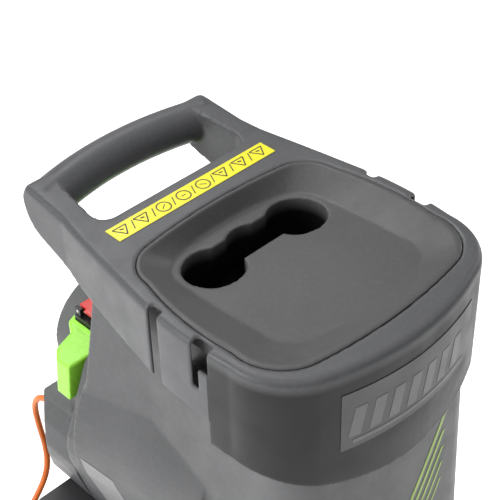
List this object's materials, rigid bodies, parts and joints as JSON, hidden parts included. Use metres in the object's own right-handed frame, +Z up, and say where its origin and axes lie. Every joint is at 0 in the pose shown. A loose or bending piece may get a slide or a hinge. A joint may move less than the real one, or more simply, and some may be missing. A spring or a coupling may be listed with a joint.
{
  "type": "garden shredder",
  "caption": "Upright electric garden shredder with a twin-hole feed tray, rear carrying handle, side-bulged cutting chamber, wheeled base, slide-out chip box and orange mains lead.",
  "frame": {"origin": "on the floor, under the middle of the machine's bounding box without its lead", "axes": "+X to the machine's right, -Y towards its front (the side the collection box slides out of), +Z up"},
  "size_m": [0.432, 0.6658, 0.908],
  "materials": {
    "hood_plastic": "fine spark-eroded grain, charcoal grey",
    "housing_plastic": "fine grain, slate grey",
    "base_plastic": "grained, near black",
    "lime_plastic": "satin lime green",
    "red_plastic": "satin red",
    "switch_plastic": "black moulded switch parts",
    "bright_steel": "zinc plated",
    "blade_steel": "ground tool steel",
    "core_steel": "laminated steel",
    "bracket_alloy": "die cast",
    "copper": "enamelled copper",
    "carbon": "pressed carbon",
    "cable_orange": "matt PVC sheath",
    "plug_plastic": "black moulded plug",
    "plug_brass": "nickel-free brass pins",
    "tyre_plastic": "hard rubber",
    "foot_rubber": "soft rubber"
  },
  "bodies": {
    "frame": {"base_deck": "base_plastic", "left_leg": "base_plastic", "right_leg": "base_plastic", "back_panel": "base_plastic", "deck_screws": "bright_steel", "left_foot": "foot_rubber", "right_foot": "foot_rubber", "axle": "bright_steel", "axle_washers": "bright_steel", "axle_clips": "bright_steel", "motor_housing": "housing_plastic", "motor_cover": "housing_plastic", "cover_screws": "bright_steel", "console_cap": "lime_plastic", "switch_body": "switch_plastic", "flap_pin": "bright_steel", "reset_body": "switch_plastic", "safety_switch": "switch_plastic", "lock_stud": "bright_steel", "front_bearing": "bright_steel", "rear_bearing": "bright_steel", "stator_core": "core_steel", "field_coils": "copper", "motor_end_bracket": "bracket_alloy", "carbon_brushes": "carbon", "strain_relief": "switch_plastic", "hinge_pins": "bright_steel", "cord": "cable_orange", "cord_tail": "cable_orange", "cord_coil": "cable_orange", "plug_body": "plug_plastic", "plug_pins": "plug_brass"},
    "hopper": {"hood": "hood_plastic", "feed_tray": "hood_plastic", "chute_housing": "housing_plastic", "feed_chute": "base_plastic", "baffle_plate": "blade_steel", "hood_screws": "bright_steel"},
    "cutter": {"blade_disc": "blade_steel", "cutter_blades": "blade_steel", "blade_screws": "bright_steel", "disc_washer": "bright_steel", "disc_bolt": "bright_steel", "motor_shaft": "bright_steel", "rotor_core": "core_steel", "commutator": "copper", "cooling_fan": "switch_plastic"},
    "start_button": {"start_button": "lime_plastic"},
    "stop_button": {"stop_button": "red_plastic"},
    "reset_button": {"reset_button": "switch_plastic"},
    "switch_flap": {"switch_flap": "red_plastic"},
    "lock_knob": {"lock_knob": "base_plastic"},
    "left_wheel": {"left_wheel": "base_plastic", "left_tyre": "tyre_plastic", "left_wheel_cap": "base_plastic"},
    "right_wheel": {"right_wheel": "base_plastic", "right_tyre": "tyre_plastic", "right_wheel_cap": "base_plastic"},
    "collection_box": {"collection_box": "housing_plastic"},
    "box_latch": {"box_latch": "lime_plastic"}
  },
  "joints": [
    {"name": "hopper_tilt", "type": "hinge", "parent": "frame", "child": "hopper", "pos_m": [0, -0.1975, 0.564], "axis": [1, 0, 0], "range_deg": [0, 75]},
    {"name": "cutter_spin", "type": "hinge", "parent": "frame", "child": "cutter", "pos_m": [0, 0.0715, 0.655], "axis": [0, -1, 0], "continuous": true},
    {"name": "lock_knob_turn", "type": "hinge", "parent": "frame", "child": "lock_knob", "pos_m": [0.16, 0.1145, 0.655], "axis": [1, 0, 0], "range_deg": [0, 1080]},
    {"name": "start_button_press", "type": "slide", "parent": "frame", "child": "start_button", "axis": [0, 0, -1], "range_m": [0, 0.003], "stiffness_N_per_m": 700},
    {"name": "stop_button_press", "type": "slide", "parent": "frame", "child": "stop_button", "axis": [0, 0, -1], "range_m": [0, 0.003], "stiffness_N_per_m": 700},
    {"name": "reset_button_press", "type": "slide", "parent": "frame", "child": "reset_button", "axis": [0, 0, -1], "range_m": [0, 0.002], "stiffness_N_per_m": 700},
    {"name": "switch_flap_lift", "type": "hinge", "parent": "frame", "child": "switch_flap", "pos_m": [-0.042, 0.1585, 0.7455], "axis": [-1, 0, 0], "range_deg": [0, 100]},
    {"name": "left_wheel_spin", "type": "hinge", "parent": "frame", "child": "left_wheel", "pos_m": [-0.194, 0.1495, 0.075], "axis": [1, 0, 0], "continuous": true},
    {"name": "right_wheel_spin", "type": "hinge", "parent": "frame", "child": "right_wheel", "pos_m": [0.194, 0.1495, 0.075], "axis": [1, 0, 0], "continuous": true},
    {"name": "box_slide", "type": "slide", "parent": "frame", "child": "collection_box", "axis": [0, -1, 0], "range_m": [0, 0.26]},
    {"name": "box_latch_lift", "type": "slide", "parent": "collection_box", "child": "box_latch", "axis": [0, 0, 1], "range_m": [0, 0.012]}
  ]
}
